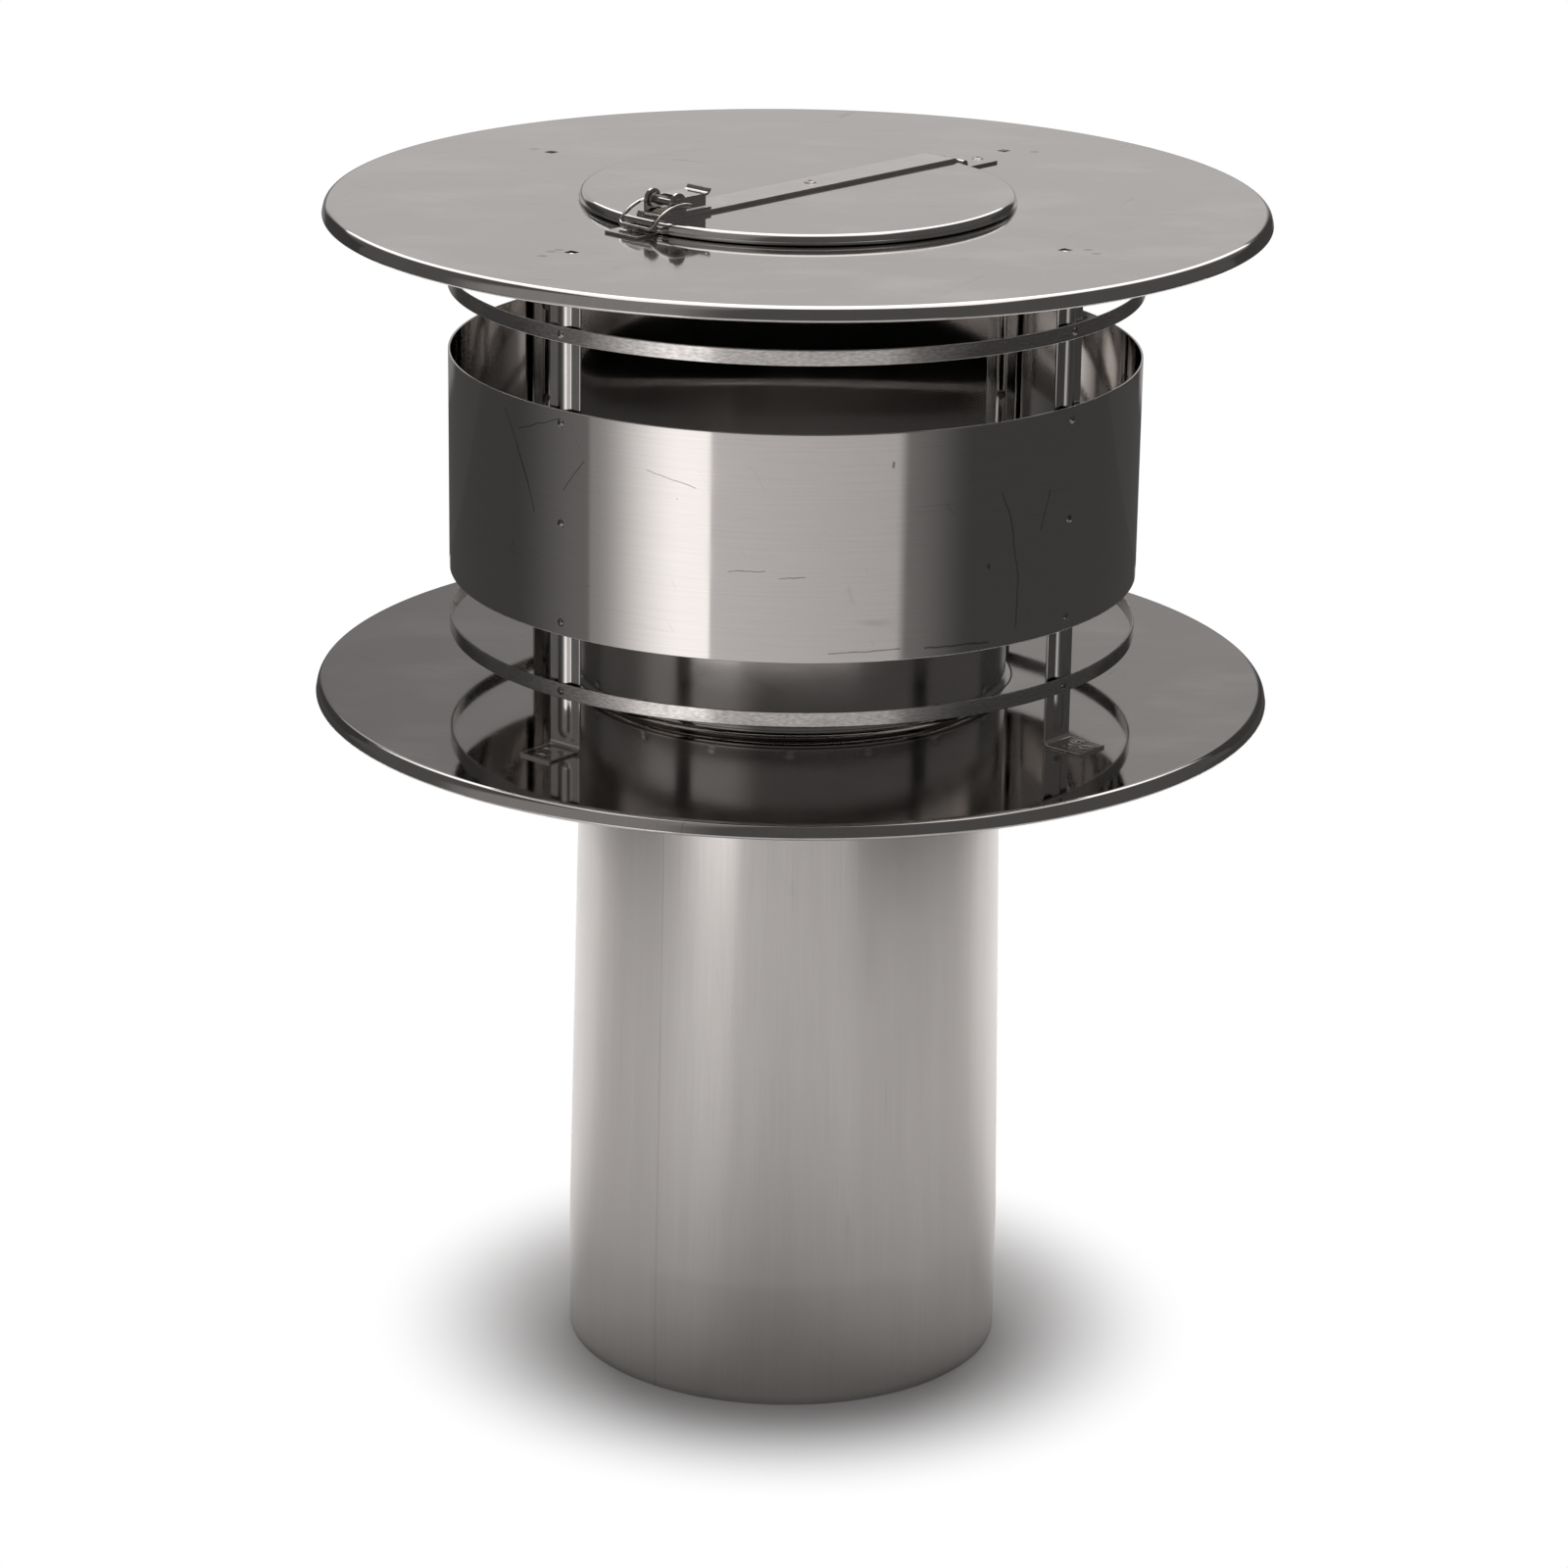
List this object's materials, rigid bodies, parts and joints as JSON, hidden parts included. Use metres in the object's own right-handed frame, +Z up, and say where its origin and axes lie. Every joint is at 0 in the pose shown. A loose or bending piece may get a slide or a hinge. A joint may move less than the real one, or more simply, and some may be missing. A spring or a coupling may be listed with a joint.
{
  "type": "chimney rain cap",
  "caption": "Stainless chimney cap with flue stub, two rimmed discs on ribbed posts, a riveted wind shroud between ring strips, and a hinged cleaning lid with toggle latch.",
  "frame": {"origin": "centre of the pipe's bottom end", "axes": "+Z up along the pipe's axis; the four posts stand on the diagonals between X and Y; -Y is the side seen in the picture"},
  "size_m": [0.447, 0.447, 0.5745],
  "materials": {
    "pipe_sheet": "bright rolled stainless sheet",
    "lower_disc_sheet": "bright rolled stainless sheet",
    "upper_disc_sheet": "bright rolled stainless sheet",
    "throat_sheet": "bright rolled stainless sheet",
    "post_sheet": "pressed stainless strip",
    "shroud_sheet": "bright rolled stainless sheet",
    "ring_strip": "slit stainless strip",
    "lid_sheet": "pressed stainless sheet",
    "strap_steel": "stainless strip",
    "keeper_steel": "stamped stainless steel",
    "bracket_steel": "stamped stainless steel",
    "latch_steel": "stamped stainless steel",
    "lever_steel": "stamped stainless steel",
    "bail_wire": "drawn stainless wire",
    "pin_steel": "drawn stainless rod",
    "rivet_steel": "upset stainless rivets"
  },
  "bodies": {
    "cap": {"flue_pipe": "pipe_sheet", "lower_disc": "lower_disc_sheet", "throat_sleeve": "throat_sheet", "post_front_left": "post_sheet", "post_front_right": "post_sheet", "post_back_left": "post_sheet", "post_back_right": "post_sheet", "wind_shroud": "shroud_sheet", "upper_ring": "ring_strip", "lower_ring": "ring_strip", "shroud_rivets": "rivet_steel", "upper_ring_rivets": "rivet_steel", "lower_ring_rivets": "rivet_steel", "upper_disc": "upper_disc_sheet", "hinge_bracket": "bracket_steel", "hinge_pin": "pin_steel", "hinge_rivet": "rivet_steel", "latch_keeper": "keeper_steel"},
    "lid_assembly": {"lid": "lid_sheet", "lid_strap": "strap_steel", "strap_rivet": "rivet_steel", "latch_base": "latch_steel", "latch_base_rivets": "rivet_steel", "latch_pivot_pin": "pin_steel"},
    "lever": {"latch_lever": "lever_steel"},
    "bail": {"latch_bail": "bail_wire"}
  },
  "joints": [
    {"name": "lid_hinge", "type": "hinge", "parent": "cap", "child": "lid_assembly", "pos_m": [0.0784, 0.07059, 0.56032], "axis": [-0.6691, 0.7431, 0], "range_deg": [0, 150]},
    {"name": "lever_pivot", "type": "hinge", "parent": "lid_assembly", "child": "lever", "pos_m": [-0.06465, -0.05821, 0.5695], "axis": [0.6691, -0.7431, 0], "range_deg": [0, 150]},
    {"name": "bail_pivot", "type": "hinge", "parent": "lever", "child": "bail", "pos_m": [-0.05945, -0.05353, 0.5682], "axis": [0.6691, -0.7431, 0], "range_deg": [-150, 0]}
  ],
  "couplings": [
    {"joint": "bail_pivot", "follows": "lever_pivot", "ratio": -1}
  ]
}
